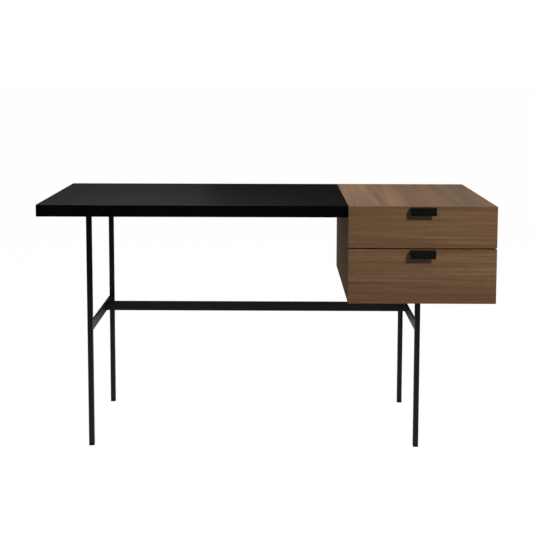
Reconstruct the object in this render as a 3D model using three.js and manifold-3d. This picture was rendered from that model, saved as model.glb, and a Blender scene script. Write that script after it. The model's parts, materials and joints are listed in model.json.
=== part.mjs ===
// Writing desk with drawers: a thin black slab top beside a walnut box with two drawers,
// carried by four slim square legs that are tied together by low flat bars.
//
// Millimetres. +Z is up. A person at the desk sits on the -Y side, with +X to their right.
// The origin is on the floor under the middle of the desk's bounding box, handles included.

import * as THREE from 'three';
import { mergeVertices } from 'three/addons/utils/BufferGeometryUtils.js';
import Module from 'manifold-3d';

const wasm = await Module();
wasm.setup();

// ---- driving dimensions --------------------------------------------------------------------------

const DESK_WIDTH = 1300;
const DESK_DEPTH = 600; // from the faces of the drawer fronts to the back edge
const DESK_HEIGHT = 720;

const HANDLE_WIDTH = 70;
const HANDLE_REACH = 22; // how far a handle stands out in front of the drawer fronts
const HANDLE_DROP = 22.5;
const HANDLE_STEEL = 2.5;
const HANDLE_BEND = 3.5; // outer radius of the folded corners
const HANDLE_TOP_GAP = 1.5; // from the top edge of a drawer front down to the handle
const HANDLE_SCREW_SPREAD = 44;

const SLAB_THICKNESS = 34;
const BOX_WIDTH = 417.5;
const BOX_HEIGHT = 276;
const BOX_BOARD = 18;
const MITRE_GAP = 0.2;

const FRONT_BOARD = 18;
const FRONT_CLEARANCE = 1; // between a closed drawer front and the edges of the box
const FRONT_SPLIT = 3.5; // open line between the two drawer fronts
const UPPER_FRONT_HEIGHT = 117.5;

const DRAWER_LENGTH = 500;
const DRAWER_BOARD = 12;
const DRAWER_BOTTOM = 5;
const DRAWER_BOTTOM_RISE = 10; // from the lower edge of a drawer side to the bottom panel
const GROOVE_DEPTH = 6;
const UPPER_DRAWER_Z = [612, 690]; // lower and upper edges of the drawer sides
const LOWER_DRAWER_Z = [472, 588];

const SLIDE_LENGTH = 500;
const SLIDE_SPACE = 12.7; // between the box side and the drawer side
const SLIDE_STEEL = 1.2;
const SLIDE_SETBACK = 3; // from the front edge of the box side

const LEG_SIDE = 15;
const LEG_WALL = 1.5;
const LEFT_LEG_X = -511;
const RIGHT_LEG_X = 440;
const FRONT_LEG_Y = -204;
const REAR_LEG_Y = 226;
const GLIDE_HEAD = 4;
const GLIDE_STEM = 14;
const GLIDE_EASING = 1; // bevel around the foot of a glide

const BAR_HEIGHT = 30;
const BAR_THICKNESS = 6;
const BAR_TOP_Z = 360;
const LONG_RAIL_Y = 126;

const TOP_BAR_WIDTH = 40;
const TOP_BAR_THICKNESS = 4;
const TOP_BAR_OVERHANG = 28; // past the centre of each leg

const ANGLE_SIDE = 28;
const ANGLE_STEEL = 3;
const ANGLE_LENGTH = 320;
const ANGLE_SETBACK = 240; // from the front edge of the slab, so that the angle stays out of sight
const ANGLE_SCREW_INSET = 40; // from each end of the angle

const FIT = 0.3; // clearance around a piece that is let into another

// ---- places worked out from the dimensions -------------------------------------------------------

const RIGHT_X = DESK_WIDTH / 2;
const LEFT_X = -RIGHT_X;
const BOX_X = RIGHT_X - BOX_WIDTH; // where the slab ends and the box begins
const BOX_MIDDLE_X = (BOX_X + RIGHT_X) / 2;
const BOX_Z = DESK_HEIGHT - BOX_HEIGHT;
const FRONT_Y = -(DESK_DEPTH + HANDLE_REACH) / 2 + HANDLE_REACH; // faces of the drawer fronts
const BACK_Y = FRONT_Y + DESK_DEPTH;
const EDGE_Y = FRONT_Y + FRONT_BOARD + FRONT_CLEARANCE; // front edges of the slab and of the box
const SLAB_Z = DESK_HEIGHT - SLAB_THICKNESS;
const INSIDE_X = [BOX_X + BOX_BOARD, RIGHT_X - BOX_BOARD];
const INSIDE_Z = [BOX_Z + BOX_BOARD, DESK_HEIGHT - BOX_BOARD];

// ---- finishes ------------------------------------------------------------------------------------

const FINISHES = {
  blackLaminate: { color: 0x1c1c1e, roughness: 0.35, metalness: 0 },
  blackSteel: { color: 0x17171a, roughness: 0.45, metalness: 0.2 },
  walnut: { color: 0x6e533b, roughness: 0.5, metalness: 0 },
  drawerWood: { color: 0xb08a62, roughness: 0.6, metalness: 0 },
  slideSteel: { color: 0xa6a9ad, roughness: 0.3, metalness: 0.9 },
  glidePlastic: { color: 0x121212, roughness: 0.6, metalness: 0 },
  screwSteel: { color: 0x3a3b3d, roughness: 0.35, metalness: 0.9 },
};

// ---- solids --------------------------------------------------------------------------------------

const WELD_DISTANCE = 1e-4; // corners nearer than this are one corner
const BEND_SEGMENTS = 8;

/** A closed three.js geometry as a solid that can be cut. Triangles of no area are left out. */
function toSolid(geometry) {
  const bare = geometry.clone();
  bare.deleteAttribute('normal');
  bare.deleteAttribute('uv');
  const merged = mergeVertices(bare, WELD_DISTANCE);
  const corners = Array.from(merged.index.array);
  const kept = [];
  for (let i = 0; i < corners.length; i += 3) {
    const [a, b, c] = corners.slice(i, i + 3);
    if (a !== b && b !== c && c !== a) {
      kept.push(a, b, c);
    }
  }
  const mesh = new wasm.Mesh({
    numProp: 3,
    vertProperties: Float32Array.from(merged.attributes.position.array),
    triVerts: Uint32Array.from(kept),
  });
  return new wasm.Manifold(mesh);
}

/** A solid as a three.js geometry. */
function toGeometry(solid) {
  const mesh = solid.getMesh();
  const geometry = new THREE.BufferGeometry();
  geometry.setAttribute('position', new THREE.BufferAttribute(Float32Array.from(mesh.vertProperties), 3));
  geometry.setIndex(Array.from(mesh.triVerts));
  geometry.computeVertexNormals();
  return geometry;
}

/** A geometry with other geometries cut out of it. */
function cut(geometry, cutters) {
  return toGeometry(cutters.reduce((rest, cutter) => rest.subtract(toSolid(cutter)), toSolid(geometry)));
}

/** A rectangular block between two opposite corners. */
function block(low, high) {
  const geometry = new THREE.BoxGeometry(high[0] - low[0], high[1] - low[1], high[2] - low[2]);
  return geometry.translate((low[0] + high[0]) / 2, (low[1] + high[1]) / 2, (low[2] + high[2]) / 2);
}

/** A closed outline through the given corners. */
function outline(corners) {
  return new THREE.Shape(corners.map(([u, v]) => new THREE.Vector2(u, v)));
}

/** A section drawn across the desk (u is X, v is Z), run from front to back. */
function alongY(section, startY, endY) {
  const geometry = new THREE.ExtrudeGeometry(section, { depth: endY - startY, bevelEnabled: false });
  return geometry.rotateX(Math.PI / 2).translate(0, endY, 0);
}

/** A section drawn from front to back (u is Y, v is Z), run from left to right. */
function alongX(section, startX, endX) {
  const geometry = new THREE.ExtrudeGeometry(section, {
    depth: endX - startX,
    bevelEnabled: false,
    curveSegments: BEND_SEGMENTS,
  });
  const turn = new THREE.Matrix4().makeBasis(
    new THREE.Vector3(0, 1, 0),
    new THREE.Vector3(0, 0, 1),
    new THREE.Vector3(1, 0, 0),
  );
  return geometry.applyMatrix4(turn).translate(startX, 0, 0);
}

const SCREW_SIDES = 12;
const SOCKET_SHARE = 0.32; // radius of a screw's socket, as a share of its shank
const SOCKET_DEPTH_SHARE = 0.8; // depth of the socket, as a share of the head's depth
const HOLE_MOUTH = 1; // how far a hole's cutter stands out of the face

/** A turned shape about +Z, from a profile of [radius, z] corners. */
function turned(corners) {
  const profile = corners.map(([radius, z]) => new THREE.Vector2(radius, z));
  return new THREE.LatheGeometry(profile, SCREW_SIDES).rotateX(Math.PI / 2);
}

/** The part of a countersunk screw below its head's face, each surface moved out by grow. */
function screwBody({ shank, head, length }, grow) {
  const shankRadius = shank / 2 + grow;
  const headRadius = head / 2 + grow;
  return [
    [0, -length - grow],
    [shankRadius, -length + shankRadius],
    [shankRadius, shankRadius - headRadius],
    [headRadius, 0],
  ];
}

/** A countersunk wood screw with a round socket, its head upwards and flush with z = 0. */
function screwGeometry(kind) {
  const socketRadius = kind.shank * SOCKET_SHARE;
  const socketZ = (kind.shank - kind.head) / 2 * SOCKET_DEPTH_SHARE;
  return turned([...screwBody(kind, 0), [socketRadius, 0], [socketRadius, socketZ], [0, socketZ]]);
}

/** The cutter for the hole that such a screw goes in. */
function screwHole(kind) {
  return turned([...screwBody(kind, FIT), [kind.head / 2 + FIT, HOLE_MOUTH], [0, HOLE_MOUTH]]);
}

const BAR_SCREW = { shank: 5, head: 10, length: 20 };
const ANGLE_SCREW = { shank: 4, head: 7.6, length: 15 };
const HANDLE_SCREW = { shank: 3, head: 5.6, length: 14 };

/** Adds a named piece to a group, with its geometry already in the group's own place. */
function addPiece(group, name, geometry, finish) {
  const piece = new THREE.Mesh(geometry, new THREE.MeshStandardMaterial(FINISHES[finish]));
  piece.name = name;
  group.add(piece);
  return piece;
}

/** Adds a named screw and returns the hole it needs, both turned and placed the same way. */
function addScrew(group, name, kind, position, rotation) {
  const screw = addPiece(group, name, screwGeometry(kind), 'screwSteel');
  screw.position.set(...position);
  screw.rotation.set(...rotation);
  screw.updateMatrix();
  return screwHole(kind).applyMatrix4(screw.matrix);
}

const HEAD_DOWN = [Math.PI, 0, 0];
const HEAD_FORWARD = [Math.PI / 2, 0, 0];
const HEAD_LEFT = [0, -Math.PI / 2, 0];

// ---- legs, braces and rail -----------------------------------------------------------------------

const desk = new THREE.Group();

/** A leg: a square tube that stands on its plastic glide and reaches up to topZ. */
function addLeg(group, name, x, y, topZ) {
  const half = LEG_SIDE / 2;
  const inner = half - LEG_WALL;
  const section = outline([[-half, -half], [half, -half], [half, half], [-half, half]]);
  section.holes.push(outline([[-inner, -inner], [-inner, inner], [inner, inner], [inner, -inner]]));
  const tube = new THREE.ExtrudeGeometry(section, { depth: topZ - GLIDE_HEAD, bevelEnabled: false });
  const leg = addPiece(group, `${name}_leg`, tube, 'blackSteel');
  leg.position.set(x, y, GLIDE_HEAD);

  const stem = inner - FIT;
  const rim = half - GLIDE_EASING;
  const stemTop = GLIDE_HEAD + GLIDE_STEM;
  const profile = outline([
    [-rim, 0], [rim, 0], [half, GLIDE_EASING], [half, GLIDE_HEAD], [stem, GLIDE_HEAD], [stem, stemTop],
    [-stem, stemTop], [-stem, GLIDE_HEAD], [-half, GLIDE_HEAD], [-half, GLIDE_EASING],
  ]);
  const lengthwise = toSolid(alongY(profile, -half, half));
  const crosswise = toSolid(alongX(profile, -half, half));
  const plug = toGeometry(lengthwise.intersect(crosswise));
  const glide = addPiece(group, `${name}_glide`, plug, 'glidePlastic');
  glide.position.set(x, y, 0);
}

/**
 * One side of the stand: two legs, the bar on top of them and the low brace between them, which lies
 * flush with the outer faces of the legs. Returns the pocket and the holes that the board above needs.
 */
function addSideFrame(side, x, outward, topZ) {
  const group = new THREE.Group();
  desk.add(group);
  addLeg(group, `${side}_front`, x, FRONT_LEG_Y, topZ);
  addLeg(group, `${side}_rear`, x, REAR_LEG_Y, topZ);

  const outerX = x + outward * LEG_SIDE / 2;
  const innerX = outerX - outward * BAR_THICKNESS;
  const brace = block(
    [Math.min(outerX, innerX), FRONT_LEG_Y + LEG_SIDE / 2, BAR_TOP_Z - BAR_HEIGHT],
    [Math.max(outerX, innerX), REAR_LEG_Y - LEG_SIDE / 2, BAR_TOP_Z],
  );
  addPiece(group, `${side}_side_brace`, brace, 'blackSteel');

  const barLow = [x - TOP_BAR_WIDTH / 2, FRONT_LEG_Y - TOP_BAR_OVERHANG, topZ];
  const barHigh = [x + TOP_BAR_WIDTH / 2, REAR_LEG_Y + TOP_BAR_OVERHANG, topZ + TOP_BAR_THICKNESS];
  const screwPlaces = [
    ['front', FRONT_LEG_Y + TOP_BAR_OVERHANG],
    ['middle', (FRONT_LEG_Y + REAR_LEG_Y) / 2],
    ['rear', REAR_LEG_Y - TOP_BAR_OVERHANG],
  ];
  const holes = screwPlaces.map(([place, y]) =>
    addScrew(group, `${side}_top_bar_screw_${place}`, BAR_SCREW, [x, y, topZ], HEAD_DOWN));
  addPiece(group, `${side}_top_bar`, cut(block(barLow, barHigh), holes), 'blackSteel');

  const pocket = block(
    [barLow[0] - FIT, barLow[1] - FIT, topZ - HOLE_MOUTH],
    [barHigh[0] + FIT, barHigh[1] + FIT, barHigh[2] + FIT],
  );
  return [pocket, ...holes];
}

const slabCuts = addSideFrame('left', LEFT_LEG_X, -1, SLAB_Z);
const boxBottomCuts = addSideFrame('right', RIGHT_LEG_X, 1, BOX_Z);

const longRail = block(
  [LEFT_LEG_X - LEG_SIDE / 2 + BAR_THICKNESS, LONG_RAIL_Y - BAR_THICKNESS / 2, BAR_TOP_Z - BAR_HEIGHT],
  [RIGHT_LEG_X + LEG_SIDE / 2 - BAR_THICKNESS, LONG_RAIL_Y + BAR_THICKNESS / 2, BAR_TOP_Z],
);
addPiece(desk, 'long_rail', longRail, 'blackSteel');

// ---- the steel angle that ties the slab to the box -----------------------------------------------

const ANGLE_Y = [EDGE_Y + ANGLE_SETBACK, EDGE_Y + ANGLE_SETBACK + ANGLE_LENGTH];
const flangeX = BOX_X - ANGLE_SIDE;
const flangeZ = SLAB_Z - ANGLE_SIDE;
const innerX = BOX_X - ANGLE_STEEL;
const innerZ = SLAB_Z - ANGLE_STEEL;
const angleSection = outline([
  [BOX_X, SLAB_Z], [flangeX, SLAB_Z], [flangeX, innerZ],
  [innerX, innerZ], [innerX, flangeZ], [BOX_X, flangeZ],
]);
const anglePlaces = [
  ['front', ANGLE_Y[0] + ANGLE_SCREW_INSET],
  ['rear', ANGLE_Y[1] - ANGLE_SCREW_INSET],
];
const slabScrewHoles = anglePlaces.map(([place, y]) => {
  const middleX = (flangeX + innerX) / 2;
  return addScrew(desk, `angle_slab_screw_${place}`, ANGLE_SCREW, [middleX, y, innerZ], HEAD_DOWN);
});
const boxScrewHoles = anglePlaces.map(([place, y]) => {
  const middleZ = (flangeZ + innerZ) / 2;
  return addScrew(desk, `angle_box_screw_${place}`, ANGLE_SCREW, [innerX, y, middleZ], HEAD_LEFT);
});
const angle = cut(alongY(angleSection, ...ANGLE_Y), [...slabScrewHoles, ...boxScrewHoles]);
addPiece(desk, 'joining_angle', angle, 'blackSteel');

// ---- slab ----------------------------------------------------------------------------------------

const slab = block([LEFT_X, EDGE_Y, SLAB_Z], [BOX_X, BACK_Y, DESK_HEIGHT]);
addPiece(desk, 'desktop_slab', cut(slab, [...slabCuts, ...slabScrewHoles]), 'blackLaminate');

// ---- drawer box: four boards mitred at the corners, and a back let in between them ---------------

/** A board that lies across the box, mitred at both ends from its face at outerZ to insideZ. */
function lyingBoard(outerZ, insideZ) {
  const section = outline([
    [BOX_X + MITRE_GAP, outerZ], [RIGHT_X - MITRE_GAP, outerZ],
    [INSIDE_X[1] - MITRE_GAP, insideZ], [INSIDE_X[0] + MITRE_GAP, insideZ],
  ]);
  return alongY(section, EDGE_Y, BACK_Y);
}

/** A board that stands at a side of the box, mitred at both ends from its face at outerX to insideX. */
function standingBoard(outerX, insideX) {
  const section = outline([
    [outerX, BOX_Z + MITRE_GAP], [insideX, INSIDE_Z[0] + MITRE_GAP],
    [insideX, INSIDE_Z[1] - MITRE_GAP], [outerX, DESK_HEIGHT - MITRE_GAP],
  ]);
  return alongY(section, EDGE_Y, BACK_Y);
}

const boxBack = block(
  [INSIDE_X[0], BACK_Y - BOX_BOARD, INSIDE_Z[0]],
  [INSIDE_X[1], BACK_Y, INSIDE_Z[1]],
);
addPiece(desk, 'box_top', lyingBoard(DESK_HEIGHT, INSIDE_Z[1]), 'walnut');
addPiece(desk, 'box_bottom', cut(lyingBoard(BOX_Z, INSIDE_Z[0]), boxBottomCuts), 'walnut');
addPiece(desk, 'box_left_side', cut(standingBoard(BOX_X, INSIDE_X[0]), boxScrewHoles), 'walnut');
addPiece(desk, 'box_right_side', standingBoard(RIGHT_X, INSIDE_X[1]), 'walnut');
addPiece(desk, 'box_back', boxBack, 'walnut');

// ---- drawer slides: an outer channel on the box, a middle one, and an inner one on the drawer ----

/** Sections of the channels: how far their web and their flanges' edges are from the box side. */
const SLIDE_SECTIONS = {
  outer: { web: 0, reach: 9, half: 22.5 },
  middle: { web: 2.2, reach: 10.4, half: 17.6 },
  inner: { web: SLIDE_SPACE, reach: 4.6, half: 13.4 },
};

/** The corners of a channel's section, measured from the box side and from the slide's middle height. */
function channelCorners({ web, reach, half }) {
  const webInner = web + Math.sign(reach - web) * SLIDE_STEEL;
  const flangeInner = half - SLIDE_STEEL;
  return [
    [web, -half], [reach, -half], [reach, -flangeInner], [webInner, -flangeInner],
    [webInner, flangeInner], [reach, flangeInner], [reach, half], [web, half],
  ];
}

/** The two slides of one drawer, with their middles at height z. */
function addSlides(drawerName, z) {
  const startY = EDGE_Y + SLIDE_SETBACK;
  const sides = [['left', INSIDE_X[0], 1], ['right', INSIDE_X[1], -1]];
  for (const [side, wallX, inward] of sides) {
    for (const [member, section] of Object.entries(SLIDE_SECTIONS)) {
      const corners = channelCorners(section).map(([across, up]) => [wallX + inward * across, z + up]);
      const channel = alongY(outline(corners), startY, startY + SLIDE_LENGTH);
      addPiece(desk, `${drawerName}_${side}_slide_${member}`, channel, 'slideSteel');
    }
  }
}

// ---- drawers -------------------------------------------------------------------------------------

/**
 * A handle folded from one strip of steel into an inverted U: a back plate against the drawer front,
 * a short top, and a front plate that hangs clear, so that the fingers go in from below.
 */
function handleGeometry(topZ) {
  const outerY = FRONT_Y - HANDLE_REACH;
  const lowerZ = topZ - HANDLE_DROP;
  const innerBend = HANDLE_BEND - HANDLE_STEEL;
  const bendZ = topZ - HANDLE_BEND;
  const frontBendY = outerY + HANDLE_BEND;
  const backBendY = FRONT_Y - HANDLE_BEND;
  const section = new THREE.Shape();
  section.moveTo(FRONT_Y, lowerZ);
  section.absarc(backBendY, bendZ, HANDLE_BEND, 0, Math.PI / 2, false);
  section.absarc(frontBendY, bendZ, HANDLE_BEND, Math.PI / 2, Math.PI, false);
  section.lineTo(outerY, lowerZ);
  section.lineTo(outerY + HANDLE_STEEL, lowerZ);
  section.absarc(frontBendY, bendZ, innerBend, Math.PI, Math.PI / 2, true);
  section.absarc(backBendY, bendZ, innerBend, Math.PI / 2, 0, true);
  section.lineTo(FRONT_Y - HANDLE_STEEL, lowerZ);
  section.closePath();
  return alongX(section, BOX_MIDDLE_X - HANDLE_WIDTH / 2, BOX_MIDDLE_X + HANDLE_WIDTH / 2);
}

/** One drawer: its front from frontZ, its box of thin boards from sideZ, and its handle and screws. */
function addDrawer(name, frontZ, sideZ) {
  const drawer = new THREE.Group();
  desk.add(drawer);
  const innerFaceY = FRONT_Y + FRONT_BOARD;
  const backY = innerFaceY + DRAWER_LENGTH;
  const leftX = INSIDE_X[0] + SLIDE_SPACE;
  const rightX = INSIDE_X[1] - SLIDE_SPACE;
  const bottomZ = sideZ[0] + DRAWER_BOTTOM_RISE;
  const grooveTop = bottomZ + DRAWER_BOTTOM + FIT;
  const topZ = frontZ[1];

  const handleZ = topZ - HANDLE_TOP_GAP;
  const screwPlaces = [['left', -HANDLE_SCREW_SPREAD / 2], ['right', HANDLE_SCREW_SPREAD / 2]];
  const holes = screwPlaces.map(([side, offset]) => {
    const place = [BOX_MIDDLE_X + offset, FRONT_Y - HANDLE_STEEL, handleZ - HANDLE_DROP / 2];
    return addScrew(drawer, `${name}_handle_screw_${side}`, HANDLE_SCREW, place, HEAD_FORWARD);
  });
  addPiece(drawer, `${name}_handle`, cut(handleGeometry(handleZ), holes), 'blackSteel');
  const front = block([BOX_X, FRONT_Y, frontZ[0]], [RIGHT_X, innerFaceY, topZ]);
  addPiece(drawer, `${name}_front`, cut(front, holes), 'walnut');

  for (const [side, outerX, inward] of [['left', leftX, 1], ['right', rightX, -1]]) {
    const innerX = outerX + inward * DRAWER_BOARD;
    const grooveX = innerX - inward * GROOVE_DEPTH;
    const section = outline([
      [outerX, sideZ[0]], [innerX, sideZ[0]],
      [innerX, bottomZ - FIT], [grooveX, bottomZ - FIT], [grooveX, grooveTop], [innerX, grooveTop],
      [innerX, sideZ[1]], [outerX, sideZ[1]],
    ]);
    addPiece(drawer, `${name}_${side}_side`, alongY(section, innerFaceY, backY), 'drawerWood');
  }

  const back = block(
    [leftX + DRAWER_BOARD, backY - DRAWER_BOARD, grooveTop],
    [rightX - DRAWER_BOARD, backY, sideZ[1]],
  );
  addPiece(drawer, `${name}_back`, back, 'drawerWood');

  const inset = DRAWER_BOARD - GROOVE_DEPTH + FIT;
  const bottom = block(
    [leftX + inset, innerFaceY, bottomZ],
    [rightX - inset, backY, bottomZ + DRAWER_BOTTOM],
  );
  addPiece(drawer, `${name}_bottom`, bottom, 'drawerWood');

  addSlides(name, (sideZ[0] + sideZ[1]) / 2);
}

const upperFrontZ = [DESK_HEIGHT - UPPER_FRONT_HEIGHT, DESK_HEIGHT];
const lowerFrontZ = [BOX_Z, upperFrontZ[0] - FRONT_SPLIT];
addDrawer('upper_drawer', upperFrontZ, UPPER_DRAWER_Z);
addDrawer('lower_drawer', lowerFrontZ, LOWER_DRAWER_Z);

export default desk;
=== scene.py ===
"""The looks of a writing desk with drawers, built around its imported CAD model."""

import json
import math

import bmesh
import bpy
from mathutils import Matrix, Vector


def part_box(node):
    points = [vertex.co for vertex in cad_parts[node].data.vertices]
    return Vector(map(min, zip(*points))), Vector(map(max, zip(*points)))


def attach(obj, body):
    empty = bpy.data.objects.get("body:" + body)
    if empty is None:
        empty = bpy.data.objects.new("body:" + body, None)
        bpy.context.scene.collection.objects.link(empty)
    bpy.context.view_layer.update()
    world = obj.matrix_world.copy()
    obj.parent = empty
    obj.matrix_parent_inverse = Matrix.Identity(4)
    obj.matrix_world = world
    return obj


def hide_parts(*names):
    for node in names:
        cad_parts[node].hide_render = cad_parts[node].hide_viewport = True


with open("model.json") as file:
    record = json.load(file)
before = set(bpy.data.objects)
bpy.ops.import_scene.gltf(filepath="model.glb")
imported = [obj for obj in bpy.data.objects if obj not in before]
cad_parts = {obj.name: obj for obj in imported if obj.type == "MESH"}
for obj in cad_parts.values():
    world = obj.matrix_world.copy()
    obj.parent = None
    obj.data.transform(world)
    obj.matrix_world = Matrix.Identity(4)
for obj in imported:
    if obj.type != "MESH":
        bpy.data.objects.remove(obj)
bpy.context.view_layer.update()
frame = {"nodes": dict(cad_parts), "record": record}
nodes = frame["nodes"]
scene = bpy.context.scene

MM = 0.001


# ---- camera --------------------------------------------------------------------------------------

CAMERA_PLACE = Vector((0.0279, -3.3552, 1.1082))
CAMERA_TURN = math.radians(0.483)  # to the left of straight ahead
CAMERA_TILT = math.radians(5.777)  # below the horizon
CAMERA_ROLL = math.radians(0.110)
CAMERA_LENS = 74.532
CAMERA_SHIFT_Y = -0.165


def add_camera():
    camera = bpy.data.objects.new("camera", bpy.data.cameras.new("camera"))
    camera.data.lens = CAMERA_LENS
    camera.data.shift_y = CAMERA_SHIFT_Y
    camera.data.clip_end = 200  # past the far edge of the floor
    camera.matrix_world = (
        Matrix.Translation(CAMERA_PLACE)
        @ Matrix.Rotation(CAMERA_TURN, 4, "Z")
        @ Matrix.Rotation(math.pi / 2 - CAMERA_TILT, 4, "X")
        @ Matrix.Rotation(CAMERA_ROLL, 4, "Z")
    )
    scene.collection.objects.link(camera)
    scene.camera = camera


add_camera()


# ---- shader building blocks ----------------------------------------------------------------------

OPEN_FACE_COSINE = 0.98  # of the angle between the true normal and the rounded one, on an open face
SHARP_EDGE_COSINE = 0.55  # the same, on a sharp edge


def set_stops(node, stops):
    """Gives a colour ramp node its (position, colour) stops."""
    elements = node.color_ramp.elements
    while len(elements) < len(stops):
        elements.new(0.5)
    for element, (position, colour) in zip(elements, stops):
        element.position = position
        element.color = (*colour, 1)


class Shader:
    """A material with a Principled surface, and short ways to add nodes to it."""

    def __init__(self, name, **surface):
        self.material = bpy.data.materials.new(name)
        self.material.use_nodes = True
        self.tree = self.material.node_tree
        self.tree.nodes.clear()
        self.surface = self.tree.nodes.new("ShaderNodeBsdfPrincipled")
        output = self.tree.nodes.new("ShaderNodeOutputMaterial")
        self.tree.links.new(self.surface.outputs["BSDF"], output.inputs["Surface"])
        for socket, value in surface.items():
            self.surface.inputs[socket].default_value = value

    def feed(self, socket, value):
        """Sets an input from a number or colour, or links it to another node's output."""
        if isinstance(value, bpy.types.NodeSocket):
            self.tree.links.new(value, socket)
        else:
            socket.default_value = value

    def coordinates(self, turn=(0, 0, 0)):
        """The object's own coordinates in metres, turned."""
        source = self.tree.nodes.new("ShaderNodeTexCoord")
        turned = self.tree.nodes.new("ShaderNodeMapping")
        turned.inputs["Rotation"].default_value = turn
        self.tree.links.new(source.outputs["Object"], turned.inputs["Vector"])
        return turned.outputs["Vector"]

    def noise(self, vector, scale, detail=2, roughness=0.5):
        """Smooth noise whose features are about 1 / scale metres long on each axis."""
        stretch = self.tree.nodes.new("ShaderNodeMapping")
        stretch.inputs["Scale"].default_value = scale if isinstance(scale, tuple) else (scale,) * 3
        node = self.tree.nodes.new("ShaderNodeTexNoise")
        node.inputs["Scale"].default_value = 1
        node.inputs["Detail"].default_value = detail
        node.inputs["Roughness"].default_value = roughness
        self.tree.links.new(vector, stretch.inputs["Vector"])
        self.tree.links.new(stretch.outputs["Vector"], node.inputs["Vector"])
        return node.outputs["Fac"]

    def math(self, operation, a, b, c=0.0, clamp=False):
        """a and b, and c for MULTIPLY_ADD, put through a Math node."""
        node = self.tree.nodes.new("ShaderNodeMath")
        node.operation = operation
        node.use_clamp = clamp
        for socket, value in zip(node.inputs, (a, b, c)):
            self.feed(socket, value)
        return node.outputs[0]

    def remap(self, value, low, high, to_low=0.0, to_high=1.0):
        """value from low..high stretched to to_low..to_high, and held at the ends."""
        node = self.tree.nodes.new("ShaderNodeMapRange")
        for socket, number in zip(node.inputs, (value, low, high, to_low, to_high)):
            self.feed(socket, number)
        return node.outputs["Result"]

    def ramp(self, value, stops):
        """A colour from a list of (position, colour) stops."""
        node = self.tree.nodes.new("ShaderNodeValToRGB")
        set_stops(node, stops)
        self.tree.links.new(value, node.inputs["Fac"])
        return node.outputs["Color"]

    def mix(self, factor, a, b, blend="MIX"):
        """Colours a and b mixed by factor."""
        node = self.tree.nodes.new("ShaderNodeMix")
        node.data_type = "RGBA"
        node.blend_type = blend
        for name, value in (("Factor_Float", factor), ("A_Color", a), ("B_Color", b)):
            socket = next(s for s in node.inputs if s.identifier == name)
            if isinstance(value, tuple) and len(value) == 3:
                value = (*value, 1)
            self.feed(socket, value)
        return next(s for s in node.outputs if s.identifier == "Result_Color")

    def offset(self, vector, x, y, z):
        """vector with a number or an output added on each axis."""
        parts = self.tree.nodes.new("ShaderNodeCombineXYZ")
        for socket, value in zip(parts.inputs, (x, y, z)):
            self.feed(socket, value)
        total = self.tree.nodes.new("ShaderNodeVectorMath")
        self.tree.links.new(vector, total.inputs[0])
        self.tree.links.new(parts.outputs[0], total.inputs[1])
        return total.outputs[0]

    def axis(self, vector, name):
        """The X, Y or Z part of a vector."""
        node = self.tree.nodes.new("ShaderNodeSeparateXYZ")
        self.tree.links.new(vector, node.inputs[0])
        return node.outputs[name]

    def edges(self, radius):
        """1 along sharp edges and 0 on open faces, fading over radius."""
        rounded = self.tree.nodes.new("ShaderNodeBevel")
        rounded.samples = 4
        rounded.inputs["Radius"].default_value = radius
        true = self.tree.nodes.new("ShaderNodeNewGeometry")
        dot = self.tree.nodes.new("ShaderNodeVectorMath")
        dot.operation = "DOT_PRODUCT"
        self.tree.links.new(rounded.outputs[0], dot.inputs[0])
        self.tree.links.new(true.outputs["True Normal"], dot.inputs[1])
        return self.remap(dot.outputs["Value"], OPEN_FACE_COSINE, SHARP_EDGE_COSINE)

    def bump(self, height, distance, strength):
        """Relief of up to distance metres on the surface."""
        node = self.tree.nodes.new("ShaderNodeBump")
        node.inputs["Strength"].default_value = strength
        node.inputs["Distance"].default_value = distance
        self.tree.links.new(height, node.inputs["Height"])
        self.tree.links.new(node.outputs["Normal"], self.surface.inputs["Normal"])

    def set(self, socket, value):
        """Sets or links an input of the surface."""
        self.feed(self.surface.inputs[socket], value)


# ---- materials -----------------------------------------------------------------------------------

GRAIN_TURN = {"X": (0, 0, 0), "Y": (0, 0, -math.pi / 2)}  # lays the figure along X or Y
GRAIN_SWAY = 30 * MM  # how far the figure wanders from a straight line
PORE_CONTRAST = 12
FIBRE_SHARE = 0.18  # of the walnut figure. The bands and streaks share the rest.
PLY_LAYER = 1.7 * MM


def wood_figure(shader, along, seed):
    """Straight wood figure along one axis of the desk, different for each seed.

    Returns the coordinates along the grain, then bands, streaks, fibres and pores, each from 0 to 1.
    All of them are long along the grain and narrow across it.
    """
    turned = shader.coordinates(turn=GRAIN_TURN[along])
    grain = shader.offset(turned, 3.7 * seed, 1.9 * seed, 2.3 * seed)
    sway = shader.noise(grain, (1.1, 4, 4), detail=2)
    bend = shader.math("MULTIPLY", shader.math("SUBTRACT", sway, 0.5), GRAIN_SWAY)
    grain = shader.offset(grain, 0.0, bend, bend)
    bands = shader.noise(grain, (0.7, 26, 26), detail=3, roughness=0.55)
    streaks = shader.noise(grain, (2.4, 170, 170), detail=5, roughness=0.62)
    fibres = shader.noise(grain, (16, 1000, 1000), detail=3, roughness=0.6)
    dashes = shader.noise(grain, (85, 1900, 1900), detail=1)
    open_grain = shader.remap(streaks, 0.42, 0.66, 0.64, 0.56)
    pores = shader.math("SUBTRACT", dashes, open_grain)
    pores = shader.math("MULTIPLY", pores, PORE_CONTRAST, clamp=True)
    return grain, bands, streaks, fibres, pores


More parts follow.
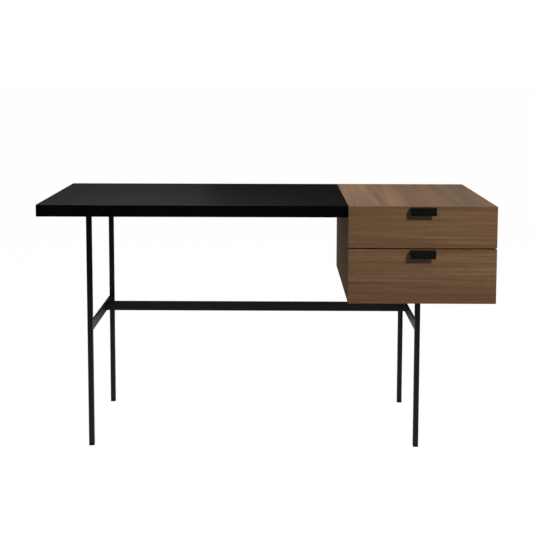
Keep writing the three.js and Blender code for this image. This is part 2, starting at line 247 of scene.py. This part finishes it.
def walnut(name, along, seed, broad):
    """Satin lacquered walnut veneer with a straight, fine grain. broad is the share of its wide bands."""
    shader = Shader(name, **{"IOR": 1.5, "Specular IOR Level": 0.7})
    grain, bands, streaks, fibres, pores = wood_figure(shader, along, seed)
    figure = shader.math("MULTIPLY", bands, broad)
    figure = shader.math("MULTIPLY_ADD", streaks, 1 - FIBRE_SHARE - broad, figure)
    figure = shader.math("MULTIPLY_ADD", fibres, FIBRE_SHARE, figure)
    colour = shader.ramp(figure, [
        (0.34, (0.098, 0.051, 0.022)),
        (0.44, (0.149, 0.080, 0.036)),
        (0.52, (0.188, 0.104, 0.048)),
        (0.62, (0.262, 0.154, 0.077)),
    ])
    warmth = shader.remap(shader.noise(grain, (0.6, 7, 7), detail=2), 0.35, 0.65)
    warmer = shader.mix(1.0, colour, (1.07, 0.97, 0.90), "MULTIPLY")
    colour = shader.mix(warmth, colour, warmer)
    colour = shader.mix(shader.math("MULTIPLY", pores, 0.55), colour, (0.055, 0.027, 0.013))
    pale_edges = shader.edges(1.2 * MM)
    colour = shader.mix(shader.math("MULTIPLY", pale_edges, 0.35), colour, (0.34, 0.21, 0.125))
    shader.set("Base Color", colour)
    roughness = shader.remap(fibres, 0.3, 0.7, 0.52, 0.62)
    roughness = shader.math("MULTIPLY_ADD", pores, 0.12, roughness)
    shader.set("Roughness", roughness)
    height = shader.math("MULTIPLY_ADD", streaks, 0.35, shader.math("MULTIPLY", fibres, 0.4))
    height = shader.math("SUBTRACT", height, pores)
    shader.bump(height, 0.12 * MM, 0.5)
    return shader.material


def plywood(name, along, thickness_axis, seed):
    """Clear-lacquered birch plywood, with its layers showing on the edges."""
    shader = Shader(name, **{"IOR": 1.47, "Coat Weight": 0.08, "Coat Roughness": 0.4})
    _, bands, streaks, fibres, pores = wood_figure(shader, along, seed)
    figure = shader.math("MULTIPLY_ADD", streaks, 0.5, shader.math("MULTIPLY", bands, 0.5))
    colour = shader.ramp(figure, [
        (0.36, (0.420, 0.265, 0.140)),
        (0.50, (0.520, 0.350, 0.200)),
        (0.64, (0.600, 0.430, 0.265)),
    ])
    depth = shader.axis(shader.coordinates(), thickness_axis)
    layer = shader.math("PINGPONG", shader.math("MULTIPLY", depth, 1 / PLY_LAYER), 1.0)
    layer = shader.remap(layer, 0.42, 0.58)
    colour = shader.mix(shader.math("MULTIPLY", layer, 0.45), colour, (0.300, 0.165, 0.080))
    colour = shader.mix(shader.math("MULTIPLY", pores, 0.3), colour, (0.220, 0.120, 0.060))
    shader.set("Base Color", colour)
    shader.set("Roughness", shader.remap(fibres, 0.3, 0.7, 0.45, 0.58))
    shader.bump(shader.math("SUBTRACT", fibres, pores), 0.1 * MM, 0.45)
    return shader.material


def laminate():
    """Soft satin black laminate: a fine dry grain, faint cloudy marks, a few hair-thin rubs, and a
    painted highlight along its eased edges.
    """
    shader = Shader("black_laminate", **{"IOR": 1.35, "Specular IOR Level": 0.3})
    place = shader.coordinates()
    clouds = shader.noise(place, 9, detail=4, roughness=0.6)
    grain = shader.noise(place, 1500, detail=2)
    aslant = shader.coordinates(turn=(0, 0, 0.5))
    rubs = shader.remap(shader.noise(aslant, (4, 900, 30), detail=2), 0.66, 0.74)
    # Mask of the eased edges. Here it carries a painted highlight, the pale line that the rounded edges
    # catch from the lamps, together with a little real rubbing.
    pale_edges = shader.edges(1.0 * MM)
    colour = shader.ramp(clouds, [
        (0.3, (0.0018, 0.0018, 0.0018)),
        (0.7, (0.0026, 0.0026, 0.0026)),
    ])
    # Painted highlight: the eased edges are lightened towards pale grey for the light that they reflect,
    # and partly for wear.
    colour = shader.mix(shader.math("MULTIPLY", pale_edges, 0.6), colour, (0.035, 0.035, 0.035))
    shader.set("Base Color", colour)
    roughness = shader.remap(clouds, 0.3, 0.7, 0.31, 0.35)
    roughness = shader.math("MULTIPLY_ADD", rubs, -0.05, roughness)
    roughness = shader.math("MULTIPLY_ADD", pale_edges, -0.08, roughness)
    shader.set("Roughness", roughness)
    shader.bump(grain, 0.04 * MM, 0.5)
    return shader.material


def painted_steel():
    """Satin black powder coat, with its orange peel and a little wear along the edges."""
    shader = Shader("black_steel", IOR=1.5)
    place = shader.coordinates()
    peel = shader.noise(place, 700, detail=2, roughness=0.45)
    clouds = shader.noise(place, 12, detail=3)
    specks = shader.remap(shader.noise(place, 2600, detail=1), 0.66, 0.74)
    wear = shader.remap(clouds, 0.4, 0.7, 0.15, 0.6)
    pale_edges = shader.math("MULTIPLY", shader.edges(0.7 * MM), wear)
    colour = shader.ramp(clouds, [
        (0.3, (0.0036, 0.0036, 0.0030)),
        (0.7, (0.0050, 0.0050, 0.0042)),
    ])
    colour = shader.mix(shader.math("MULTIPLY", specks, 0.4), colour, (0.014, 0.014, 0.014))
    colour = shader.mix(pale_edges, colour, (0.030, 0.030, 0.030))
    shader.set("Base Color", colour)
    roughness = shader.remap(clouds, 0.3, 0.7, 0.27, 0.33)
    shader.set("Roughness", shader.math("MULTIPLY_ADD", pale_edges, -0.1, roughness))
    shader.bump(peel, 0.05 * MM, 0.5)
    return shader.material


def zinc_steel():
    """Bright zinc-plated sheet, drawn along the slides, with faint cloudy plating."""
    shader = Shader("slide_steel", Metallic=1.0)
    place = shader.coordinates()
    drawn = shader.noise(place, (2500, 12, 2500), detail=3, roughness=0.6)
    clouds = shader.noise(place, 45, detail=4, roughness=0.55)
    colour = shader.ramp(clouds, [(0.3, (0.48, 0.49, 0.50)), (0.7, (0.64, 0.65, 0.67))])
    shader.set("Base Color", colour)
    shader.set("Roughness", shader.remap(drawn, 0.3, 0.7, 0.22, 0.40))
    shader.bump(drawn, 0.03 * MM, 0.5)
    return shader.material


def glide_plastic():
    """Matt black moulded plastic with a fine grain, scuffed pale near the floor."""
    shader = Shader("glide_plastic", IOR=1.46)
    place = shader.coordinates()
    texture = shader.noise(place, 1400, detail=3, roughness=0.6)
    scuffs = shader.noise(place, (220, 220, 900), detail=3)
    near_floor = shader.remap(shader.axis(place, "Z"), 0.5 * MM, 3.5 * MM, 1.0, 0.0)
    scuffs = shader.math("MULTIPLY", shader.remap(scuffs, 0.5, 0.62), near_floor)
    scuffs = shader.math("MULTIPLY", scuffs, 0.6)
    colour = shader.mix(scuffs, (0.010, 0.010, 0.010), (0.045, 0.044, 0.042))
    shader.set("Base Color", colour)
    shader.set("Roughness", shader.remap(texture, 0.3, 0.7, 0.5, 0.65))
    shader.bump(texture, 0.08 * MM, 0.6)
    return shader.material


def screw_steel():
    """Black zinc screws: dark metal, a little brighter where the tool has rubbed the edges."""
    shader = Shader("screw_steel", Metallic=0.9)
    place = shader.coordinates()
    clouds = shader.noise(place, 600, detail=3)
    pale_edges = shader.edges(0.4 * MM)
    colour = shader.ramp(clouds, [(0.3, (0.060, 0.060, 0.064)), (0.7, (0.100, 0.100, 0.106))])
    colour = shader.mix(shader.math("MULTIPLY", pale_edges, 0.7), colour, (0.32, 0.32, 0.33))
    shader.set("Base Color", colour)
    shader.set("Roughness", shader.remap(clouds, 0.3, 0.7, 0.30, 0.42))
    shader.bump(clouds, 0.03 * MM, 0.4)
    return shader.material


BLACK_LAMINATE = laminate()
BLACK_STEEL = painted_steel()
SLIDE_STEEL = zinc_steel()
GLIDE_PLASTIC = glide_plastic()
SCREW_STEEL = screw_steel()


# ---- the CAD nodes: eased edges and materials ----------------------------------------------------

TOUCHING = 0.002 * MM  # points nearer than this touch
FLAT_ANGLE = math.radians(1)  # faces that meet at less are one flat face
SHARP_ANGLE = math.radians(40)  # edges sharper than this are eased

BOARD_EASE = 0.5 * MM
DRAWER_BOARD_EASE = 0.6 * MM
DRAWER_BOTTOM_EASE = 0.3 * MM
SLAB_EASE = 1.0 * MM
STAND_EASE = 0.6 * MM
THIN_STEEL_EASE = 0.4 * MM
HANDLE_EASE = 0.35 * MM
SLIDE_EASE = 0.25 * MM
GLIDE_EASE = 0.4 * MM


def outer_corners(piece):
    """A vertex group of the corners where at least two sides of the piece's own box meet."""
    corners = [vertex.co for vertex in piece.data.vertices]
    low = [min(corner[axis] for corner in corners) for axis in range(3)]
    high = [max(corner[axis] for corner in corners) for axis in range(3)]
    outer = []
    for index, corner in enumerate(corners):
        gaps = [min(corner[axis] - low[axis], high[axis] - corner[axis]) for axis in range(3)]
        if sum(gap < TOUCHING for gap in gaps) >= 2:
            outer.append(index)
    group = piece.vertex_groups.new(name="outer_corners")
    group.add(outer, 1, "REPLACE")
    return group.name


def dress(name, material, ease, segments=3, only_outer=False):
    """Gives a CAD node its material, and eases its sharp edges by ease metres.

    The smallest detail of a piece limits how far its edges are eased. With only_outer, its holes and
    recesses are left sharp, and its outer edges get their full easing.
    """
    piece = nodes[name]
    piece.data.materials.clear()
    piece.data.materials.append(material)
    weld = piece.modifiers.new("weld", "WELD")
    weld.merge_threshold = TOUCHING
    flat = piece.modifiers.new("flat_faces", "DECIMATE")
    flat.decimate_type = "DISSOLVE"
    flat.angle_limit = FLAT_ANGLE
    bevel = piece.modifiers.new("eased_edges", "BEVEL")
    bevel.width = ease
    bevel.segments = segments
    if only_outer:
        bevel.limit_method = "VGROUP"
        bevel.vertex_group = outer_corners(piece)
    else:
        bevel.limit_method = "ANGLE"
        bevel.angle_limit = SHARP_ANGLE
    normals = piece.modifiers.new("normals", "WEIGHTED_NORMAL")
    normals.keep_sharp = False
    for face in piece.data.polygons:
        face.use_smooth = True


DRAWERS = ("upper_drawer", "lower_drawer")
DRILLED_BOARDS = ("box_bottom", "upper_drawer_front", "lower_drawer_front")
WALNUT_BOARDS = {  # the way that the grain of each runs
    "box_top": "Y",
    "box_bottom": "Y",
    "box_left_side": "Y",
    "box_right_side": "Y",
    "box_back": "X",
    "upper_drawer_front": "X",
    "lower_drawer_front": "X",
}
BROAD_SHARE = 0.28  # of the wide bands in the figure of a board
TOP_BROAD_SHARE = 0.5

# Each board has a seed of its own, so that no two look alike.
for seed, (board, along) in enumerate(WALNUT_BOARDS.items(), start=1):
    broad = TOP_BROAD_SHARE if board == "box_top" else BROAD_SHARE
    veneer = walnut(f"walnut_{board}", along, seed, broad)
    dress(board, veneer, BOARD_EASE, only_outer=board in DRILLED_BOARDS)

for seed, drawer in enumerate(DRAWERS, start=11):
    sides = plywood(f"drawer_wood_{drawer}_sides", "Y", "X", seed)
    back = plywood(f"drawer_wood_{drawer}_back", "X", "Y", seed + 10)
    bottom = plywood(f"drawer_wood_{drawer}_bottom", "Y", "Z", seed + 20)
    dress(f"{drawer}_left_side", sides, DRAWER_BOARD_EASE)
    dress(f"{drawer}_right_side", sides, DRAWER_BOARD_EASE)
    dress(f"{drawer}_back", back, DRAWER_BOARD_EASE)
    dress(f"{drawer}_bottom", bottom, DRAWER_BOTTOM_EASE)
    dress(f"{drawer}_handle", BLACK_STEEL, HANDLE_EASE)

dress("desktop_slab", BLACK_LAMINATE, SLAB_EASE, segments=4, only_outer=True)
dress("joining_angle", BLACK_STEEL, THIN_STEEL_EASE)
dress("long_rail", BLACK_STEEL, STAND_EASE)
for side in ("left", "right"):
    dress(f"{side}_top_bar", BLACK_STEEL, THIN_STEEL_EASE)
    dress(f"{side}_side_brace", BLACK_STEEL, STAND_EASE)
    for end in ("front", "rear"):
        dress(f"{side}_{end}_leg", BLACK_STEEL, STAND_EASE)
        dress(f"{side}_{end}_glide", GLIDE_PLASTIC, GLIDE_EASE)
for name in nodes:
    if "_slide_" in name:
        dress(name, SLIDE_STEEL, SLIDE_EASE, segments=2)


# ---- mesh building blocks ------------------------------------------------------------------------

CREASE_ANGLE = math.radians(35)  # edges sharper than this look sharp


def add_mesh(name, build, material, body):
    """A new piece: build fills a bmesh, in metres and in the desk's own frame."""
    mesh = bpy.data.meshes.new(name)
    shape = bmesh.new()
    build(shape)
    bmesh.ops.recalc_face_normals(shape, faces=shape.faces)
    shape.to_mesh(mesh)
    shape.free()
    mesh.materials.append(material)
    for face in mesh.polygons:
        face.use_smooth = True
    mesh.set_sharp_from_angle(angle=CREASE_ANGLE)
    piece = bpy.data.objects.new(name, mesh)
    scene.collection.objects.link(piece)
    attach(piece, body)
    return piece


def loft(shape, rings):
    """Joins rings of equally many points into a skin, with a face over each end."""
    rows = [[shape.verts.new(point) for point in ring] for ring in rings]
    for row, following in zip(rows, rows[1:]):
        for i in range(len(row)):
            j = (i + 1) % len(row)
            shape.faces.new((row[i], row[j], following[j], following[i]))
    shape.faces.new(list(reversed(rows[0])))
    shape.faces.new(rows[-1])


SCREW_SIDES = 36


def hexagon_reach(angle, corner_radius):
    """Distance from the middle of a hexagon to its edge, in one direction."""
    from_side = (angle % (math.pi / 3)) - math.pi / 6
    return corner_radius * math.cos(math.pi / 6) / math.cos(from_side)


def round_outline(radius, hexagonal=False):
    """Points around a circle, or around a hexagon whose corners lie on it."""
    points = []
    for i in range(SCREW_SIDES):
        angle = 2 * math.pi * i / SCREW_SIDES
        reach = hexagon_reach(angle, radius) if hexagonal else radius
        points.append((reach * math.cos(angle), reach * math.sin(angle)))
    return points


# ---- screws --------------------------------------------------------------------------------------

# In head diameters
SHANK = 0.515
SOCKET = 0.46  # across its corners
SOCKET_MOUTH = 0.49

# In shank diameters
THREAD_CORE = 0.80
THREAD_START = 0.7  # from the tip
THREAD_PITCH = 0.42
NECK = 0.94
NECK_LENGTH = 0.4  # from the head to the end of the thread
POINT_LENGTH = 0.55  # from the tip to the full core

# In pitches, along each turn of the thread
CREST_START = 0.35
CREST_END = 0.5
FLANK_END = 0.8


def thread_rings(ring, start, end, shank):
    """The ridges of a thread from start to end, each with a flat crest and two flanks."""
    core = THREAD_CORE * shank / 2
    crest = shank / 2
    pitch = THREAD_PITCH * shank
    rings = []
    while start + pitch < end:
        rings += [
            ring(start, core),
            ring(start + CREST_START * pitch, crest),
            ring(start + CREST_END * pitch, crest),
            ring(start + FLANK_END * pitch, core),
        ]
        start += pitch
    return rings


def add_screw(node, head_axis, body):
    """A countersunk screw with a hexagon socket and a cut thread, in the place of a plain CAD screw."""
    low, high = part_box(node)
    size = high - low
    axis = Vector(head_axis)
    length = abs(size.dot(axis))
    head = (sum(size) - length) / 2
    shank = SHANK * head
    head_depth = (head - shank) / 2
    core = THREAD_CORE * shank / 2
    neck = NECK * shank / 2
    socket = SOCKET * head / 2
    top = (low + high) / 2 + axis * length / 2
    turn = axis.to_track_quat("Z", "Y").to_matrix()

    def ring(z, radius, hexagonal=False):
        return [top + turn @ Vector((x, y, z)) for x, y in round_outline(radius, hexagonal)]

    def build(shape):
        tip = -length
        thread_end = -head_depth - NECK_LENGTH * shank
        loft(shape, [
            ring(tip, 0.03 * shank),
            ring(tip + POINT_LENGTH * shank, core),
            *thread_rings(ring, tip + THREAD_START * shank, thread_end, shank),
            ring(thread_end, core),
            ring(thread_end + 0.1 * shank, neck),
            ring(-head_depth * 1.05, neck),
            ring(-0.06 * head, 0.485 * head),  # the cone ends at a thin rim
            ring(-0.025 * head, 0.495 * head),
            ring(0, 0.475 * head),
            ring(0, SOCKET_MOUTH * head / 2, True),  # and from here down into the socket
            ring(-0.02 * head, socket, True),
            ring(-head_depth * 0.85, socket, True),
            ring(-head_depth * 0.95, 0.02 * head),
        ])

    screw = add_mesh(f"{node}_threaded", build, SCREW_STEEL, body)
    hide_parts(node)


HEAD_AXES = {  # the way that each head faces
    "top_bar": (0, 0, -1),
    "angle_slab": (0, 0, -1),
    "angle_box": (-1, 0, 0),
    "handle": (0, -1, 0),
}
for body, members in frame["record"]["behaviour"]["bodies"].items():
    for name in members:
        if "screw" in name:
            add_screw(name, next(axis for part, axis in HEAD_AXES.items() if part in name), body)


# ---- welds of the stand --------------------------------------------------------------------------

BEAD = 2.6 * MM  # leg length of a weld fillet
BEAD_SINK = 0.2 * MM  # how far a bead reaches into the corner behind it
BEAD_INSET = 1.5 * MM  # from each end of the corner that it fills
BEAD_FACE = 0.80  # distance of its face from the corner, in leg lengths
BEAD_BULGE = 0.02  # how much farther the middle of the face is
FACE_STEPS = 4
RIPPLE = 1.1 * MM  # length of one ripple
RIPPLE_RISE = 0.08  # its height, in leg lengths
STEPS_PER_RIPPLE = 4
END_SIZE = 0.35  # of a bead at its very ends, in its full size
END_GROWTH = 6  # how fast it grows from there


def weld_bead(shape, start, end, first, second):
    """A rippled fillet from start to end, in a corner whose walls lead away along first and second."""
    start, end, first, second = (Vector(v) for v in (start, end, first, second))
    ripples = (end - start).length / RIPPLE
    steps = round(STEPS_PER_RIPPLE * ripples)
    rings = []
    for i in range(steps + 1):
        share = i / steps
        taper = min(1, END_SIZE + END_GROWTH * share, END_SIZE + END_GROWTH * (1 - share))
        reach = BEAD * taper * (1 + RIPPLE_RISE * abs(math.sin(math.pi * share * ripples)))
        middle = start.lerp(end, share)
        ring = [middle - (first + second) * BEAD_SINK, middle + first * reach]
        for k in range(1, FACE_STEPS):
            angle = math.pi / 2 * k / FACE_STEPS
            face = BEAD_FACE + BEAD_BULGE * math.sin(2 * angle)
            ring.append(middle + (first * math.cos(angle) + second * math.sin(angle)) * reach * face)
        ring.append(middle + second * reach)
        rings.append(ring)
    loft(shape, rings)


def build_welds(shape):
    """Beads where the braces meet the legs and the rail, and where the legs meet the top bars."""
    rail_low, rail_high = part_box("long_rail")
    for side, inward in (("left", 1), ("right", -1)):
        brace_low, brace_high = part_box(f"{side}_side_brace")
        x = brace_high.x if inward > 0 else brace_low.x
        z_low, z_high = brace_low.z + BEAD_INSET, brace_high.z - BEAD_INSET
        corners = ((brace_low.y, 1), (brace_high.y, -1), (rail_low.y, -1), (rail_high.y, 1))
        for y, away in corners:
            weld_bead(shape, (x, y, z_low), (x, y, z_high), (inward, 0, 0), (0, away, 0))
        for end in ("front", "rear"):
            leg_low, leg_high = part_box(f"{side}_{end}_leg")
            y_low, y_high, z = leg_low.y + BEAD_INSET, leg_high.y - BEAD_INSET, leg_high.z
            for x, away in ((leg_low.x, -1), (leg_high.x, 1)):
                weld_bead(shape, (x, y_low, z), (x, y_high, z), (away, 0, 0), (0, 0, -1))


add_mesh("stand_welds", build_welds, BLACK_STEEL, "desk")


# ---- balls, cages and screws of the drawer slides ------------------------------------------------

SLIDE_SHEET = 1.2 * MM
BALL_SPACING = 11 * MM
BALL_PLAY = 0.05 * MM
OUTER_BALLS_REACH = 6.6 * MM  # from the wall of the outer channel
INNER_BALLS_REACH = 7.6 * MM
CAGE_LENGTH = 200 * MM
CAGE_INSET = 8 * MM  # from an end of the middle channel
CAGE_WIDTH = 4.4 * MM
CAGE_SHEET = 0.5 * MM


def build_ball(shape, centre, radius):
    """One ball of a slide."""
    made = bmesh.ops.create_uvsphere(shape, u_segments=12, v_segments=8, radius=radius)
    bmesh.ops.translate(shape, verts=made["verts"], vec=centre)


def build_plate(shape, low, high):
    """A thin rectangular plate between two corners."""
    x0, y0, z0 = low
    x1, y1, z1 = high
    loft(shape, [
        [(x0, y0, z0), (x1, y0, z0), (x1, y0, z1), (x0, y0, z1)],
        [(x0, y1, z0), (x1, y1, z0), (x1, y1, z1), (x0, y1, z1)],
    ])


def build_ball_row(shape, x, y, z, radius):
    """A row of balls that starts at y, with the thin cage that holds them."""
    for i in range(int(CAGE_LENGTH / BALL_SPACING)):
        build_ball(shape, Vector((x, y + (i + 0.5) * BALL_SPACING, z)), radius)
    low = (x - CAGE_WIDTH / 2, y, z - CAGE_SHEET / 2)
    high = (x + CAGE_WIDTH / 2, y + CAGE_LENGTH, z + CAGE_SHEET / 2)
    build_plate(shape, low, high)


def build_slide_balls(slide, inward):
    """The four ball rows of a slide: above and below, outside and inside its middle channel."""
    outer, middle, inner = (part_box(f"{slide}_{channel}") for channel in ("outer", "middle", "inner"))
    wall = outer[0].x if inward > 0 else outer[1].x
    rear_row = middle[1].y - CAGE_LENGTH - CAGE_INSET
    front_row = middle[0].y + CAGE_INSET

    def build(shape):
        for y, around, within, reach in (
            (rear_row, outer, middle, OUTER_BALLS_REACH),
            (front_row, middle, inner, INNER_BALLS_REACH),
        ):
            x = wall + inward * reach
            for far, near in (
                (around[1].z - SLIDE_SHEET, within[1].z),
                (around[0].z + SLIDE_SHEET, within[0].z),
            ):
                build_ball_row(shape, x, y, (far + near) / 2, abs(far - near) / 2 - BALL_PLAY)
    return build


SLIDE_SCREW_PLACES = (35 * MM, 195 * MM, 355 * MM, 465 * MM)  # from the front end of a channel
SLIDE_SCREW_HEAD = 3.4 * MM  # radius
SLIDE_SCREW_RISE = 0.75 * MM  # above the web of the channel


def build_slide_screws(channel, toward):
    """The low screw heads that hold a channel to its board. toward is 1 where it opens to +X, or -1."""
    low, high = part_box(channel)
    web = (low.x if toward > 0 else high.x) + toward * SLIDE_SHEET
    z = (low.z + high.z) / 2

    def ring(y, share, rise, hexagonal=False):
        outline = round_outline(share * SLIDE_SCREW_HEAD, hexagonal)
        return [(web + toward * rise, y + across, z + up) for across, up in outline]

    def build(shape):
        for place in SLIDE_SCREW_PLACES:
            y = low.y + place
            loft(shape, [
                ring(y, 0.9, -0.3 * MM),
                ring(y, 1.0, 0.1 * MM),
                ring(y, 0.94, 0.4 * MM),
                ring(y, 0.72, SLIDE_SCREW_RISE),
                ring(y, 0.46, SLIDE_SCREW_RISE, True),
                ring(y, 0.42, SLIDE_SCREW_RISE - 0.1 * MM, True),
                ring(y, 0.42, -0.2 * MM, True),
            ])
    return build


for drawer in DRAWERS:
    for side, inward in (("left", 1), ("right", -1)):
        name = f"{drawer}_{side}_slide"
        body = drawer.replace("drawer", "slide_middles")
        add_mesh(f"{name}_balls", build_slide_balls(name, inward), SLIDE_STEEL, body)
        outer_screws = build_slide_screws(f"{name}_outer", inward)
        add_mesh(f"{name}_outer_screws", outer_screws, SCREW_STEEL, "desk")
        inner_screws = build_slide_screws(f"{name}_inner", -inward)
        add_mesh(f"{name}_inner_screws", inner_screws, SCREW_STEEL, drawer)


# ---- floor, light and world ----------------------------------------------------------------------

FLOOR_REACH = 60
STUDIO_TONES = ((0.0, 0.02), (0.50, 0.008), (0.62, 0.010), (1.0, 0.12))  # from below to above


def add_floor():
    """A plain pale floor. It shows to the camera, and its glow is kept off the desk."""
    mesh = bpy.data.meshes.new("floor")
    signs = ((-1, -1), (1, -1), (1, 1), (-1, 1))
    mesh.from_pydata([(x * FLOOR_REACH, y * FLOOR_REACH, 0) for x, y in signs], [], [(0, 1, 2, 3)])
    floor = bpy.data.objects.new("floor", mesh)
    scene.collection.objects.link(floor)
    pale = Shader("pale_floor", **{
        "Base Color": (0.02, 0.02, 0.02, 1),
        "Roughness": 0.9,
        "Specular IOR Level": 0.0,
        "Emission Color": (1, 1, 1, 1),
        "Emission Strength": 0.99,
    })
    mesh.materials.append(pale.material)
    floor.visible_diffuse = False
    floor.visible_glossy = False


def add_light(name, place, target, width, height, power, glossy=True):
    """A soft rectangular light that the camera doesn't see, aimed from place at target."""
    light = bpy.data.lights.new(name, "AREA")
    light.shape = "RECTANGLE"
    light.size = width
    light.size_y = height
    light.energy = power
    lamp = bpy.data.objects.new(name, light)
    lamp.location = place
    lamp.rotation_euler = (Vector(target) - Vector(place)).to_track_quat("-Z", "Y").to_euler()
    lamp.visible_camera = False
    lamp.visible_glossy = glossy
    scene.collection.objects.link(lamp)


def add_world():
    """White behind the desk for the camera, and a dim, soft studio for the desk itself."""
    world = bpy.data.worlds.new("studio")
    world.use_nodes = True
    tree = world.node_tree
    tree.nodes.clear()
    output = tree.nodes.new("ShaderNodeOutputWorld")
    seen = tree.nodes.new("ShaderNodeBackground")
    seen.inputs["Color"].default_value = (1, 1, 1, 1)
    studio = tree.nodes.new("ShaderNodeBackground")
    direction = tree.nodes.new("ShaderNodeTexCoord")
    split = tree.nodes.new("ShaderNodeSeparateXYZ")
    spread = tree.nodes.new("ShaderNodeMapRange")
    spread.inputs["From Min"].default_value = -1
    tone = tree.nodes.new("ShaderNodeValToRGB")
    set_stops(tone, [(position, (grey,) * 3) for position, grey in STUDIO_TONES])
    path = tree.nodes.new("ShaderNodeLightPath")
    choose = tree.nodes.new("ShaderNodeMixShader")
    tree.links.new(direction.outputs["Generated"], split.inputs[0])
    tree.links.new(split.outputs["Z"], spread.inputs["Value"])
    tree.links.new(spread.outputs["Result"], tone.inputs["Fac"])
    tree.links.new(tone.outputs["Color"], studio.inputs["Color"])
    tree.links.new(path.outputs["Is Camera Ray"], choose.inputs["Fac"])
    tree.links.new(studio.outputs[0], choose.inputs[1])
    tree.links.new(seen.outputs[0], choose.inputs[2])
    tree.links.new(choose.outputs[0], output.inputs["Surface"])
    scene.world = world


add_floor()
add_world()
DESK_MIDDLE = (0.1, 0, 0.6)
add_light("key", (1.11, -1.56, 1.50), (0.42, -0.3, 0.6), 0.12, 0.12, 20.5, glossy=False)
add_light("right_soft", (2.7, -2.7, 1.7), DESK_MIDDLE, 2.2, 1.6, 5.5)
add_light("top_soft", (-0.4, 0.3, 1.75), (-0.2, 0.2, 0.7), 1.0, 0.8, 20)
add_light("left_fill", (-3.2, -1.2, 0.7), DESK_MIDDLE, 1.6, 1.0, 13.5)
add_light("front_card", (1.0, -3.4, 0.35), (0.3, -0.3, 0.6), 1.6, 1.0, 0.25)
add_light("rear_card", (-1.5, 3.2, 0.9), DESK_MIDDLE, 2.4, 1.2, 0.85)
add_light("rear_left_fill", (-2.6, 2.2, 1.6), DESK_MIDDLE, 1.2, 1.2, 10.5)
add_light("rear_right_fill", (2.3, 2.5, 1.6), DESK_MIDDLE, 1.2, 1.2, 26)
add_light("floor_bounce", (0.0, -0.2, 0.005), (0.0, -0.2, 1.0), 2.8, 3.3, 10)
scene.view_settings.view_transform = "Standard"
